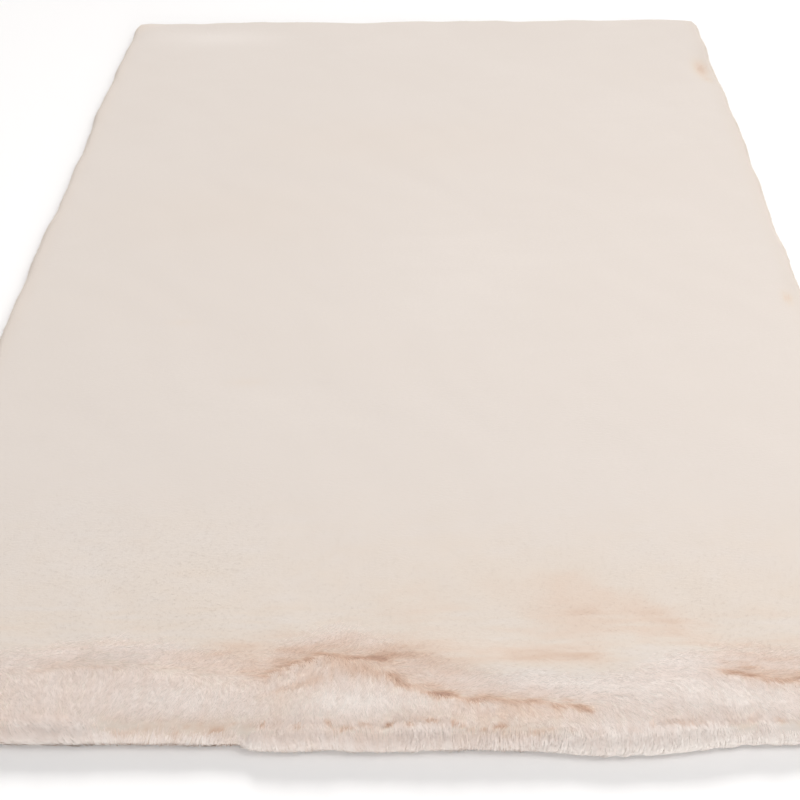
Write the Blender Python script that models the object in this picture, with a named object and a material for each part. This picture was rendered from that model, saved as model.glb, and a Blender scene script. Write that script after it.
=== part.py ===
"""A faux-fur shag rug of 1.2 x 1.7 m, lying flat with a short edge towards -Y.

The rug is one solid: a lumpy slab of pile with a level underside and a rim of locks.
Its origin is at the middle of the underside, at floor level. Metres, +Z up.
"""

import math
import random

import bmesh
import bpy
import numpy as np

# Overall sizes, over the tips of the pile.
WIDTH = 1.210  # along X
LENGTH = 1.712  # along Y
CORNER_RADIUS = 0.040

# The pile, measured from the floor.
PILE_HEIGHT = 0.025  # backing cloth and fur together
RIM_HEIGHT = 0.017  # where the rounded shoulder meets the rim's locks
SHOULDER = 0.030  # how far in from the rim the pile reaches its full height

# The locks of fur round the rim, one on each wall panel.
LOCK_REACH = 0.017
LOCK_SHORTEST = 0.42  # the shortest lock, as a share of LOCK_REACH
LOCK_WAIST = 0.55  # where a lock's middle section stands along its reach
LOCK_WAIST_WIDTH = (0.66, 0.80)  # shares of the lock's root
LOCK_WAIST_HEIGHT = (0.66, 0.92)
LOCK_TIP_RISE = (0.0015, 0.0060)  # how high a lock's tip lies over the floor
LOCK_SWING = 0.30  # how far a tip turns aside, as a share of the lock's width
LOCK_SEED = 7

# The grid over the pile: fine round the rim and along the ruffled near edge.
FINE_PITCH = 0.013
COARSE_PITCH = 0.026
FINE_BAND = 0.052
NEAR_BAND = 0.156
PITCH_JITTER = 0.24  # how far a grid line strays, as a share of its own pitch
JITTER_SEED = 3

# How far each edge draws in from its outermost point, and how far inside that fades out.
EDGE_FADE = 0.150
NEAR_EDGE = (  # (x, drawn in)
    (-0.605, 0.0080),
    (-0.400, 0.0062),
    (-0.165, 0.0070),
    (-0.145, 0.0028),
    (-0.115, 0.0024),
    (-0.073, 0.0050),
    (-0.020, 0.0030),
    (0.080, 0.0070),
    (0.150, 0.0055),
    (0.205, 0.0000),
    (0.277, 0.0033),
    (0.360, 0.0130),
    (0.420, 0.0150),
    (0.605, 0.0110),
)
EDGE_WAVES = {  # side: ((wavelength, phase, depth), ...)
    "far": ((0.390, 0.4, 0.0050), (0.170, 2.1, 0.0030), (0.083, 0.9, 0.0015)),
    "left": ((0.520, 1.7, 0.0045), (0.210, 0.2, 0.0030), (0.094, 2.6, 0.0016)),
    "right": ((0.610, 3.9, 0.0045), (0.180, 1.2, 0.0030), (0.101, 0.5, 0.0016)),
}

# Low lumps all over the pile: (wavelength across, wavelength along, phase, height).
LUMPS = (
    (0.530, 0.470, 0.6, 0.0014),
    (0.290, 0.350, 2.2, 0.0012),
    (0.190, 0.160, 4.1, 0.0010),
    (0.110, 0.130, 1.3, 0.0008),
)
LUMP_SWAY = 1.4  # how far the rows of lumps wander, in radians
RUFFLE_START = -0.600  # from here to the near edge the lumps grow
RUFFLE_GAIN = 0.8

# Partings, where the fur divides along a curved line and the pile lies lower:
# (start, middle and end of the line, half width, depth).
PARTINGS = (
    ((-0.158, -0.802), (-0.075, -0.736), (0.040, -0.757), 0.014, 0.0085),
    ((-0.055, -0.760), (0.050, -0.795), (0.200, -0.813), 0.015, 0.0095),
    ((0.345, -0.767), (0.430, -0.775), (0.530, -0.786), 0.014, 0.0070),
    ((-0.388, -0.779), (-0.345, -0.764), (-0.310, -0.768), 0.012, 0.0045),
    ((-0.150, -0.822), (-0.015, -0.850), (0.125, -0.832), 0.010, 0.0065),
    ((-0.345, -0.826), (-0.260, -0.846), (-0.165, -0.834), 0.010, 0.0050),
    ((0.296, -0.822), (0.345, -0.832), (0.400, -0.815), 0.010, 0.0055),
)

# Mounds and dips: (centre, half length, half width, turn in degrees, height).
MOUNDS = (
    ((-0.055, -0.808), 0.090, 0.026, 2.0, 0.0060),
    ((0.120, -0.833), 0.075, 0.018, 4.0, 0.0030),
    ((0.245, -0.755), 0.080, 0.030, 4.0, 0.0035),
    ((0.340, -0.798), 0.090, 0.022, -3.0, 0.0040),
    ((0.520, -0.810), 0.060, 0.026, 0.0, 0.0030),
    ((-0.260, -0.806), 0.090, 0.028, 3.0, 0.0030),
    ((-0.330, -0.752), 0.060, 0.014, 8.0, 0.0025),
    ((-0.480, -0.810), 0.080, 0.030, -2.0, 0.0025),
    ((0.080, -0.755), 0.090, 0.022, -6.0, 0.0025),
    ((0.568, 0.630), 0.022, 0.060, 0.0, -0.0050),
    ((0.572, -0.110), 0.018, 0.050, 0.0, -0.0030),
    ((-0.560, 0.810), 0.040, 0.030, 40.0, 0.0020),
)

FUR_COLOUR = (0.790, 0.700, 0.620, 1.0)  # linear
FUR_ROUGHNESS = 0.90


def clear_scene():
    """Removes whatever the scene holds."""
    for thing in list(bpy.data.objects):
        bpy.data.objects.remove(thing, do_unlink=True)


def fur_material():
    """Cream acrylic fur, dull all over."""
    fur = bpy.data.materials.new("cream_fur")
    fur.use_nodes = True
    shader = fur.node_tree.nodes["Principled BSDF"]
    shader.inputs["Base Color"].default_value = FUR_COLOUR
    shader.inputs["Roughness"].default_value = FUR_ROUGHNESS
    shader.inputs["Metallic"].default_value = 0.0
    return fur


def grid_lines(low, high, fine_low, fine_high, chance):
    """Places from low to high: fine steps over both end bands and coarse ones between.

    Each line but the first and last then strays by up to PITCH_JITTER of its smaller gap.
    """
    near = np.linspace(low, low + fine_low, round(fine_low / FINE_PITCH) + 1)
    far = np.linspace(high - fine_high, high, round(fine_high / FINE_PITCH) + 1)
    span = far[0] - near[-1]
    middle = np.linspace(near[-1], far[0], round(span / COARSE_PITCH) + 1)
    lines = np.concatenate([near, middle[1:-1], far])
    gaps = np.diff(lines)
    stray = chance.uniform(-PITCH_JITTER, PITCH_JITTER, len(lines) - 2)
    lines[1:-1] += stray * np.minimum(gaps[:-1], gaps[1:])
    return lines


def waves(along, side):
    """Sines added together, from 0 at their outermost point to the sum of their depths twice."""
    total = 0.0
    for wavelength, phase, depth in EDGE_WAVES[side]:
        total = total + depth * (1 - np.sin(2 * math.pi * along / wavelength + phase)) / 2
    return total


def round_corners(x, y, half_x, half_y):
    """Bends the square corners of a rectangular grid into quarter circles.

    Inside each corner square, a point (a, b) from the square's inner corner goes to
    a * sqrt(1 - b^2 / 2R^2), b * sqrt(1 - a^2 / 2R^2), which takes the outline to a circle.
    """
    a = np.maximum(np.abs(x) - (half_x - CORNER_RADIUS), 0) / CORNER_RADIUS
    b = np.maximum(np.abs(y) - (half_y - CORNER_RADIUS), 0) / CORNER_RADIUS
    cut_x = CORNER_RADIUS * a * (1 - np.sqrt(1 - b**2 / 2))
    cut_y = CORNER_RADIUS * b * (1 - np.sqrt(1 - a**2 / 2))
    return x - np.sign(x) * cut_x, y - np.sign(y) * cut_y


def draw_in_edges(x, y, half_x, half_y):
    """Moves each point inwards by its nearest edges' unevenness, less the further in it is."""
    place, inset = zip(*NEAR_EDGE)
    near = np.interp(x, place, inset) * np.clip(1 - (y + half_y) / EDGE_FADE, 0, 1)
    far = waves(x, "far") * np.clip(1 - (half_y - y) / EDGE_FADE, 0, 1)
    left = waves(y, "left") * np.clip(1 - (x + half_x) / EDGE_FADE, 0, 1)
    right = waves(y, "right") * np.clip(1 - (half_x - x) / EDGE_FADE, 0, 1)
    return x + left - right, y + near - far


def parting_depth(x, y, start, middle, end, half_width, depth):
    """A trough along a bowed line: a bell across it, fading out over its ends.

    The line is a parabola over the chord from start to end, through middle.
    """
    chord = np.subtract(end, start)
    length = math.hypot(*chord)
    along = (chord[0] * (x - start[0]) + chord[1] * (y - start[1])) / length**2
    aside = (chord[0] * (y - start[1]) - chord[1] * (x - start[0])) / length
    place = np.dot(chord, np.subtract(middle, start)) / length**2
    reach = (chord[0] * (middle[1] - start[1]) - chord[1] * (middle[0] - start[0])) / length
    bow = reach / (place * (1 - place))
    inside = np.clip(along, 0, 1)
    past = np.abs(along - inside) * length
    off = aside - bow * inside * (1 - inside)
    return depth * np.exp(-(off**2 + past**2) / half_width**2)


def mound_height(x, y, centre, half_length, half_width, turn, height):
    """A bell-shaped mound with an elliptical foot."""
    c, s = math.cos(math.radians(turn)), math.sin(math.radians(turn))
    along = c * (x - centre[0]) + s * (y - centre[1])
    aside = c * (y - centre[1]) - s * (x - centre[0])
    return height * np.exp(-((along / half_length) ** 2) - (aside / half_width) ** 2)


def pile_height(x, y):
    """The top of the pile over the floor, away from the rounded rim."""
    ruffle = 1 + RUFFLE_GAIN * np.clip((RUFFLE_START - y) / (LENGTH / 2 + RUFFLE_START), 0, 1)
    z = np.full(np.shape(x), PILE_HEIGHT)
    for across, along, phase, height in LUMPS:
        u, v = 2 * math.pi * x / across, 2 * math.pi * y / along
        rows = np.sin(u + LUMP_SWAY * np.sin(v / 2 + 2 * phase) + phase)
        z = z + ruffle * height * rows * np.sin(v + LUMP_SWAY * np.sin(u / 2 + 3 * phase))
    for row in MOUNDS:
        z = z + mound_height(x, y, *row)
    for row in PARTINGS:
        z = z - parting_depth(x, y, *row)
    return z


def pile_surface():
    """The top of the pile as rows of points: a grid with round corners and uneven edges.

    Within SHOULDER of the rim the height follows a quarter ellipse down to RIM_HEIGHT.
    """
    half_x, half_y = WIDTH / 2 - LOCK_REACH, LENGTH / 2 - LOCK_REACH
    chance = np.random.default_rng(JITTER_SEED)
    columns = grid_lines(-half_x, half_x, FINE_BAND, FINE_BAND, chance)
    rows = grid_lines(-half_y, half_y, NEAR_BAND, FINE_BAND, chance)
    x, y = np.meshgrid(columns, rows)
    from_rim = np.minimum(half_x - np.abs(x), half_y - np.abs(y))
    share = np.clip(from_rim / SHOULDER, 0, 1)
    x, y = round_corners(x, y, half_x, half_y)
    x, y = draw_in_edges(x, y, half_x, half_y)
    z = RIM_HEIGHT + (pile_height(x, y) - RIM_HEIGHT) * np.sqrt(1 - (1 - share) ** 2)
    return np.stack([x, y, z], axis=-1)


def pile_mesh(points):
    """A bmesh of the top surface, with its faces upwards."""
    rows, columns = points.shape[:2]
    body = bmesh.new()
    corner = [body.verts.new(point) for point in points.reshape(-1, 3).tolist()]
    for row in range(rows - 1):
        for column in range(columns - 1):
            first = row * columns + column
            ring = (first, first + 1, first + columns + 1, first + columns)
            body.faces.new([corner[k] for k in ring])
    return body


def close_underside(body):
    """Extrudes the rim straight down to the floor and closes it with one level face.

    Returns the wall's panels.
    """
    rim = [edge for edge in body.edges if edge.is_boundary]
    made = bmesh.ops.extrude_edge_only(body, edges=rim)["geom"]
    panels = [item for item in made if isinstance(item, bmesh.types.BMFace)]
    foot = [item for item in made if isinstance(item, bmesh.types.BMEdge) and item.is_boundary]
    for vert in {vert for edge in foot for vert in edge.verts}:
        vert.co.z = 0.0
    bmesh.ops.edgeloop_fill(body, edges=foot)
    bmesh.ops.recalc_face_normals(body, faces=body.faces)
    return panels


def grow_lock(body, panel, chance):
    """Draws one wall panel out into a four-sided lock that tapers to a point.

    The lock's underside lies on the floor as far as its waist.
    """
    outward = panel.normal.copy()
    outward.z = 0.0
    outward.normalize()
    centre = panel.calc_center_median()
    aside = outward.cross((0.0, 0.0, 1.0))
    width = max(vert.co.dot(aside) for vert in panel.verts) - min(
        vert.co.dot(aside) for vert in panel.verts
    )
    reach = LOCK_REACH * chance.uniform(LOCK_SHORTEST, 1.0)
    swing = width * chance.uniform(-LOCK_SWING, LOCK_SWING)
    narrowing = chance.uniform(*LOCK_WAIST_WIDTH)
    lowering = chance.uniform(*LOCK_WAIST_HEIGHT)

    waist = bmesh.ops.extrude_discrete_faces(body, faces=[panel])["faces"][0]
    for vert in waist.verts:
        across = (vert.co - centre).dot(aside)
        place = centre + aside * (across * narrowing + swing * LOCK_WAIST / 2)
        place = place + outward * (reach * LOCK_WAIST)
        place.z = vert.co.z * lowering
        vert.co = place
    end = bmesh.ops.extrude_discrete_faces(body, faces=[waist])["faces"][0]
    tip = centre + aside * swing + outward * reach
    tip.z = chance.uniform(*LOCK_TIP_RISE)
    bmesh.ops.pointmerge(body, verts=end.verts, merge_co=tip)


def bring_to_size(body):
    """Stretches the outline by a hair, so that it spans WIDTH and LENGTH about the origin."""
    points = np.array([vert.co for vert in body.verts])
    low, high = points.min(axis=0), points.max(axis=0)
    for vert in body.verts:
        vert.co.x = (vert.co.x - (low[0] + high[0]) / 2) * WIDTH / (high[0] - low[0])
        vert.co.y = (vert.co.y - (low[1] + high[1]) / 2) * LENGTH / (high[1] - low[1])


def make_rug():
    """The rug's fur and backing as one closed solid."""
    body = pile_mesh(pile_surface())
    chance = random.Random(LOCK_SEED)
    for panel in close_underside(body):
        grow_lock(body, panel, chance)
    bring_to_size(body)
    bmesh.ops.triangulate(body, faces=body.faces, quad_method="BEAUTY", ngon_method="BEAUTY")
    bmesh.ops.recalc_face_normals(body, faces=body.faces)
    mesh = bpy.data.meshes.new("rug_pile")
    body.to_mesh(mesh)
    body.free()
    mesh.materials.append(fur_material())
    mesh.shade_smooth()
    rug = bpy.data.objects.new("rug_pile", mesh)
    bpy.context.collection.objects.link(rug)


clear_scene()
make_rug()
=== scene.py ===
"""A cream faux-fur shag rug lying on a pale floor, seen from its ruffled short edge.

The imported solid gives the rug's place and size. Here the fur is made over it: a lumpy
ground of packed fur on its backing cloth, a short combed nap over the whole field, longer
hair along the ruffled near edge, and hair that falls over the rim. Metres, +Z up.
"""

import math

import bpy
import numpy as np
from mathutils import Matrix, Vector


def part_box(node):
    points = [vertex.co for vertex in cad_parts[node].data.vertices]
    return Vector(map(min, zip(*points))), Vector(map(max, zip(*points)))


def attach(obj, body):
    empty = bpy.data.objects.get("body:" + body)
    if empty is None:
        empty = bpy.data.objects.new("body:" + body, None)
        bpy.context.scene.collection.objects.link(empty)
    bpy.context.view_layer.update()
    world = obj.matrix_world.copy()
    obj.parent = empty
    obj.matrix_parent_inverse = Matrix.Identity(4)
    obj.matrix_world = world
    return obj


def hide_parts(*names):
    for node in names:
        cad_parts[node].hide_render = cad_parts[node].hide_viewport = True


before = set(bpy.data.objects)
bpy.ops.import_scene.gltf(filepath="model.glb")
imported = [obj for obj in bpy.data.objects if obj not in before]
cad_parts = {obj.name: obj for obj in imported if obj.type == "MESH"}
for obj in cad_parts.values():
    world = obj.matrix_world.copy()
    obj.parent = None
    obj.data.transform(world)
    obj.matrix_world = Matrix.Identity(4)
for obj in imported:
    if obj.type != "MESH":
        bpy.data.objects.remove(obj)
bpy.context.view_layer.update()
rug_low, rug_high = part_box("rug_pile")

WIDTH = rug_high[0] - rug_low[0]
LENGTH = rug_high[1] - rug_low[1]

# The solid's form, repeated from the part's source.
CORNER_RADIUS = 0.040
PILE_HEIGHT = 0.025
EDGE_FADE = 0.150  # how far in from an edge its unevenness is felt
EDGE_WAVES = {  # side: ((wavelength, phase, depth), ...)
    "far": ((0.390, 0.4, 0.0050), (0.170, 2.1, 0.0030), (0.083, 0.9, 0.0015)),
    "left": ((0.520, 1.7, 0.0045), (0.210, 0.2, 0.0030), (0.094, 2.6, 0.0016)),
    "right": ((0.610, 3.9, 0.0045), (0.180, 1.2, 0.0030), (0.101, 0.5, 0.0016)),
}
LUMPS = (  # (wavelength across, wavelength along, phase, height)
    (0.530, 0.470, 0.6, 0.0014),
    (0.290, 0.350, 2.2, 0.0012),
    (0.190, 0.160, 4.1, 0.0010),
    (0.110, 0.130, 1.3, 0.0008),
)
LUMP_SWAY = 1.4  # how far the rows of lumps waver, in radians
RUFFLE_START = -0.600  # from this y to the near edge the lumps grow
RUFFLE_GAIN = 0.8  # and by what share

# The near edge, in places some 2 mm off the solid's, since the hair over it leans outwards.
NEAR_EDGE = (  # (x, drawn in)
    (-0.605, 0.0080),
    (-0.400, 0.0062),
    (-0.162, 0.0070),
    (-0.150, 0.0016),
    (-0.115, 0.0006),
    (-0.073, 0.0030),
    (-0.020, 0.0010),
    (0.080, 0.0050),
    (0.150, 0.0040),
    (0.205, -0.0012),
    (0.277, 0.0020),
    (0.360, 0.0130),
    (0.420, 0.0150),
    (0.605, 0.0110),
)
# The lines where the fur opens and leans away to both sides, a few mm off the solid's grooves
# since hair lies over those: (start, middle and end), (half width and depth of the groove),
# (tone added along the line and half its width), (tone added behind it and half its width).
PARTINGS = (
    (((-0.140, -0.777), (-0.085, -0.751), (-0.014, -0.757)), (0.012, 0.0006), (0.20, 0.0040), (0.13, 0.013)),
    (((-0.004, -0.779), (0.018, -0.791), (0.043, -0.802)), (0.013, 0.0006), (0.24, 0.0046), (0.14, 0.011)),
    (((0.046, -0.799), (0.110, -0.805), (0.198, -0.812)), (0.013, 0.0006), (0.28, 0.0046), (0.14, 0.010)),
    (((0.352, -0.770), (0.430, -0.779), (0.530, -0.790)), (0.014, 0.0006), (0.24, 0.0050), (0.24, 0.012)),
    (((-0.388, -0.776), (-0.345, -0.767), (-0.305, -0.768)), (0.012, 0.0008), (0.12, 0.0026), (0.06, 0.010)),
)
# Where the roll of fur along the near edge starts, and how clearly: (x, y, strength).
ROLL_LINE = (
    (-0.605, -0.836, 0.2),
    (-0.410, -0.833, 0.2),
    (-0.345, -0.831, 0.2),
    (-0.312, -0.838, 0.3),
    (-0.290, -0.842, 0.4),
    (-0.240, -0.842, 0.2),
    (-0.197, -0.840, 0.4),
    (-0.165, -0.838, 0.5),
    (-0.155, -0.842, 1.0),
    (-0.135, -0.836, 0.6),
    (-0.076, -0.834, 0.6),
    (-0.063, -0.841, 0.6),
    (-0.022, -0.836, 0.6),
    (-0.012, -0.840, 1.0),
    (0.000, -0.829, 1.0),
    (0.014, -0.832, 0.8),
    (0.051, -0.832, 0.7),
    (0.075, -0.838, 0.4),
    (0.101, -0.838, 0.6),
    (0.170, -0.841, 0.5),
    (0.210, -0.841, 0.2),
    (0.251, -0.837, 0.4),
    (0.274, -0.829, 0.4),
    (0.313, -0.827, 0.4),
    (0.329, -0.825, 0.4),
    (0.356, -0.831, 0.4),
    (0.378, -0.820, 0.3),
    (0.404, -0.830, 0.6),
    (0.440, -0.830, 0.3),
    (0.605, -0.832, 0.5),
)
ROLL_GROOVE = (0.0060, 0.0022)  # its half width and depth
ROLL_ROOTS_AND_SHADE = (0.36, 0.0030)  # the tone added along it and half its width: tan roots where the tufts part, and painted shade in that gap
ROLL_SHADE_BAND = (0.11, 0.006, 0.009)  # a band of painted shade behind it, under the ends of the hair there: the tone, how far behind, half its width
ROLL_GAP = (0.6, 0.007, 0.007)  # where hair is shorter: by what share, how far behind, likewise
# Mounds and dips, where the solid has them: (centre, half length, half width, turn, height).
MOUNDS = (
    ((-0.055, -0.808), 0.090, 0.026, 2.0, 0.0060),
    ((0.120, -0.833), 0.075, 0.018, 4.0, 0.0030),
    ((0.245, -0.755), 0.080, 0.030, 4.0, 0.0035),
    ((0.340, -0.798), 0.090, 0.022, -3.0, 0.0040),
    ((0.520, -0.810), 0.060, 0.026, 0.0, 0.0030),
    ((-0.260, -0.806), 0.090, 0.028, 3.0, 0.0030),
    ((-0.330, -0.752), 0.060, 0.014, 8.0, 0.0025),
    ((-0.480, -0.810), 0.080, 0.030, -2.0, 0.0025),
    ((0.080, -0.755), 0.090, 0.022, -6.0, 0.0025),
    ((0.568, 0.630), 0.022, 0.060, 0.0, -0.0050),
    ((0.572, -0.110), 0.018, 0.050, 0.0, -0.0015),
    ((-0.560, 0.810), 0.040, 0.030, 40.0, 0.0020),
)

# The backing cloth.
BACKING_THICK = 0.0018
BACKING_INSET = (0.016, 0.016)  # inside the tips of the pile, at the sides and the ends
EDGE_PITCH = 0.02  # between the points of its edge
GAP = 0.0003  # between the cloth and the ground over it
RIB_PITCH = 0.004935  # between its ribs, drawn coarser than real ones so that they show

# The ground of packed fur, which the hair stands on.
GROUND_INSET = (0.0055, -0.0010)  # its outline inside the tips, at the sides and the ends
NEAR_SHOULDER = 0.016  # how far in its rounded edge reaches, along the near edge
FAR_SHOULDER = 0.014  # and along the rest
TUCK = 0.0055  # how far its foot is tucked under
TUCK_SHARE = 0.32  # and up to what share of its height
LUMP_SHARE = 0.4  # how much of the lumps' height its nap leaves
GROUND_SINK = 0.0010  # how far it lies under the pile's top, in the field
RUFFLED_SINK = 0.0020  # and where the fur is ruffled
EDGE_STEPS = 8  # points round its rounded edge
COLUMN_PITCH = 0.0070  # between its columns
FIELD_PITCH = 0.0120  # between its rows, in the field
RUFFLED_PITCH = 0.0030  # and in the band where the fur is ruffled
RUFFLED_BAND = 0.170  # how far that band reaches in
RUFFLE_FADE = (-0.005, 0.045)  # how far behind the comb line the ruffled fur settles
FINE_CLUMPS = 0.0003  # how high the ruffled fur's clumps stand
STREAK = (0.006, 0.0025)  # the length and width of a streak, which runs across the rug
STREAK_TONE = 0.06  # how much the tone varies from streak to streak

# All hair. A real one is some 0.05 mm thick: each one here stands for a lock of them, as fine
# as the picture needs.
TAPER = (0.75, 1.6)  # how much narrower its tip is, as a share, and how late it narrows
TONE_SPREAD = 0.012  # how far its tone runs to either side
HAIR_FLAT = 0.3  # how high long hair is, as a share of its width
HAIR_SCATTER = 0.018  # how much its tone varies from hair to hair

# The hair that lies along the ground.
SOFTNESS = 0.92  # how far a hair is shaded as the fur round it, as a share
ROOT_SINK = 0.0004  # how far its root lies under the ground's top
STREW = 0.55  # how far it stands from its lattice place at most, in cells
NAP_SPLIT = -0.300  # where the near nap meets the far one
NAP_INSET = 0.024  # how far inside the tips the nap starts
NAP = (  # (name, seed, count, from y, to y, width, length)
    ("near_nap", 101, 34000, -LENGTH / 2 + 0.060, NAP_SPLIT, 0.0018, 0.011),
    ("far_nap", 103, 26000, NAP_SPLIT, LENGTH / 2 - NAP_INSET, 0.0030, 0.014),
)
NAP_SIZES = (0.8, 1.2)  # the range of its lengths, as shares
NAP_WIDTHS = (0.75, 1.25)  # and of its widths
NAP_LIFTS = (0.00005, 0.0003)  # how far its tips stand over the ground
NAP_BEND = 0.25  # how far hairs turn from the way they are combed, in radians
NAP_CLUMPS = (0.011, 0.35)  # the clumps' pitch, and how far they draw a tip, as a share
NAP_FLAT = 0.12  # how high it is, as a share of its width
NAP_SCATTER = 0.008  # how much its tone varies from hair to hair
RUFFLED_COUNT = 88000
RUFFLED_PIECES = 2
RUFFLED_INSET = 0.020
RUFFLED_LENGTHS = (0.010, 0.018)
RUFFLED_WIDTHS = (0.0005, 0.0010)
RUFFLED_LIFTS = (0.0002, 0.0006)
RUFFLED_EXTRA = 0.0009  # how much more the most ruffled hair lifts
RUFFLED_BEND = 0.30
RUFFLED_CLUMPS = (0.008, 0.65)
UPWARDS = (0.0, 0.0, 1.0)  # the way a lying hair's ridge faces

# Where each kind's roots are on the map that runs from root to tip, and so how tan they look.
NAP_ROOT = 0.70
RUFFLED_ROOT = 0.45
RIM_ROOT = 0.50

# The hair that falls over the rim. Its angles go up round the rim from 0 at the floor.
RIM_PITCH = 0.003  # between the points of the outline that it stands on
NEAR_STRETCH = 0.045  # how far in from the near edge the near hair reaches at the sides
RIM_STARTS = (0.04, 1.45)  # the angles where it starts, in right angles
LOWEST_ANGLE = 0.03  # how near the floor it reaches, in radians
LOWEST_HAIR = 0.0012  # and in metres
RIM_SINK = 0.0003  # how far under the ground's surface its roots lie
RIM_METRES = 0.020  # what a radian round the rim counts for in its noise
RIM_CLUMP = 0.0048  # how far clumps draw it aside
RIM_SWAY = 0.005  # how far it leans aside over longer stretches
RIM_STRAY = 0.0018  # and from hair to hair
RIM_CALM = (0.6, 0.22, 0.34)  # how much calmer the near hair gets, from this x to that
RIM_LOOSE = 0.75  # how much of the tuck under a loose rim its hair leaves out, as a share
FLARE = 0.0020  # how far the lowest hair stands out where the rim is tight
# (name, is near, count, widths, lengths, (lift, extra lift), softness, where its points lie)
RIM_HAIR = (
    ("near_rim_hair", True, 34000, (0.0006, 0.0011), (0.006, 0.010), (0.0014, 0.0016), 0.93, (0, 1)),
    ("near_fringe", True, 15000, (0.0006, 0.0010), (0.009, 0.016), (0.0014, 0.0024), 0.92, (0, 0.5, 1)),
    ("rim_hair", False, 34000, (0.0008, 0.0015), (0.006, 0.011), (0.0004, 0.0030), 0.92, (0, 1)),
)

# How dark the fur looks from above, from 0, its palest, to 1, the brown of its roots.
FIELD_TONE = 0.25
NEAR_TONE = 0.12  # added towards the near edge
NEAR_FADE = (-0.75, -0.45)  # from this y to that it fades into the field's
SIDE_SHADE_TONE = 0.06  # painted shade added along the long sides, in the field, where the pile starts to roll off
HAIR_TONE = -0.04  # added to the ruffled hair and the near rim's: painted light, paler to make up for the shade among their strands
TONE_PATCHES = (  # (centre, half length, half width, turn in degrees, added tone); those below 0 near y -0.84 are painted light on the roll's curve, against the shade there
    ((0.190, -0.665), 0.130, 0.050, -8.0, 0.10),
    ((0.205, -0.705), 0.055, 0.045, 0.0, 0.12),
    ((0.290, -0.692), 0.060, 0.013, -20.0, 0.12),
    ((0.310, -0.724), 0.055, 0.011, -4.0, 0.14),
    ((0.008, -0.698), 0.045, 0.036, 0.0, 0.10),
    ((0.395, -0.745), 0.060, 0.018, 0.0, 0.12),
    ((0.145, -0.750), 0.085, 0.013, -3.0, 0.24),
    ((-0.190, -0.738), 0.050, 0.010, 0.0, 0.04),
    ((-0.230, -0.808), 0.100, 0.020, 0.0, -0.12),
    ((0.255, -0.788), 0.070, 0.016, 0.0, -0.10),
    ((0.010, -0.750), 0.036, 0.012, -6.0, 0.18),
    ((-0.040, -0.767), 0.034, 0.010, -16.0, 0.28),
    ((-0.105, -0.790), 0.040, 0.0035, 20.0, 0.16),
    ((-0.100, -0.790), 0.040, 0.014, 10.0, 0.10),
    ((-0.116, -0.810), 0.035, 0.013, 0.0, 0.16),
    ((-0.130, -0.752), 0.110, 0.030, 4.0, 0.10),
    ((-0.190, -0.766), 0.060, 0.026, 0.0, 0.12),
    ((0.050, -0.768), 0.050, 0.018, -8.0, 0.14),
    ((-0.004, -0.782), 0.018, 0.014, 0.0, 0.07),
    ((0.025, -0.738), 0.030, 0.008, 0.0, 0.12),
    ((0.210, -0.750), 0.020, 0.008, 0.0, 0.12),
    ((-0.260, -0.832), 0.110, 0.009, 0.0, 0.05),
    ((0.196, -0.642), 0.030, 0.040, 0.0, 0.07),
    ((0.290, -0.703), 0.030, 0.012, 0.0, 0.10),
    ((0.140, -0.820), 0.060, 0.010, -2.0, 0.22),
    ((0.060, -0.826), 0.060, 0.012, 0.0, 0.05),
    ((-0.085, -0.774), 0.030, 0.010, 0.0, 0.07),
    ((-0.155, -0.784), 0.022, 0.012, 0.0, 0.05),
    ((-0.150, -0.736), 0.045, 0.010, 0.0, 0.05),
    ((-0.056, -0.812), 0.070, 0.018, 0.0, -0.20),
    ((-0.250, -0.842), 0.035, 0.012, 0.0, 0.10),
    ((0.060, -0.846), 0.200, 0.010, 0.0, 0.04),
    ((0.165, -0.780), 0.070, 0.014, -8.0, -0.20),
    ((0.300, -0.760), 0.050, 0.026, -8.0, -0.15),
    ((0.370, -0.804), 0.080, 0.020, -3.0, -0.18),
    # painted light on the roll's curve
    ((0.255, -0.843), 0.140, 0.018, 0.0, -0.20),
    ((-0.195, -0.841), 0.025, 0.010, 0.0, 0.12),
    # painted light on the roll's curve
    ((0.380, -0.843), 0.080, 0.016, 0.0, -0.05),
    ((0.300, -0.826), 0.022, 0.006, 4.0, 0.16),
    ((0.366, -0.828), 0.010, 0.012, 0.0, 0.16),
    ((0.345, -0.822), 0.008, 0.010, 0.0, 0.10),
    ((0.110, -0.846), 0.055, 0.014, 0.0, 0.16),
    # painted light on the roll's curve
    ((-0.350, -0.839), 0.060, 0.009, 0.0, -0.17),
    ((-0.270, -0.745), 0.070, 0.012, 0.0, -0.06),
    # painted light on the roll's curve
    ((0.035, -0.840), 0.050, 0.008, 0.0, -0.14),
    ((-0.400, 0.770), 0.120, 0.035, 0.0, -0.08),
    ((0.080, -0.100), 0.100, 0.120, 0.0, -0.02),
    ((-0.060, 0.350), 0.250, 0.080, 0.0, 0.05),
    ((-0.330, 0.100), 0.200, 0.120, 0.0, 0.04),
    ((0.563, 0.626), 0.014, 0.036, 0.0, 0.42),
    ((0.570, 0.577), 0.007, 0.012, 30.0, 0.20),
    ((0.564, -0.114), 0.007, 0.014, 0.0, 0.34),
    ((-0.569, 0.824), 0.040, 0.026, 40.0, 0.08),
    ((-0.328, -0.176), 0.018, 0.006, 0.0, 0.08),
    ((-0.220, -0.306), 0.026, 0.008, 6.0, 0.08),
)

# The line behind which the fur is combed away from the near edge: (x, y).
COMB_LINE = (
    (-0.605, -0.800),
    (-0.388, -0.776),
    (-0.345, -0.767),
    (-0.305, -0.768),
    (-0.158, -0.790),
    (-0.135, -0.770),
    (-0.073, -0.748),
    (-0.010, -0.770),
    (0.070, -0.802),
    (0.198, -0.811),
    (0.280, -0.785),
    (0.345, -0.768),
    (0.430, -0.775),
    (0.530, -0.786),
    (0.605, -0.790),
)

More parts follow.
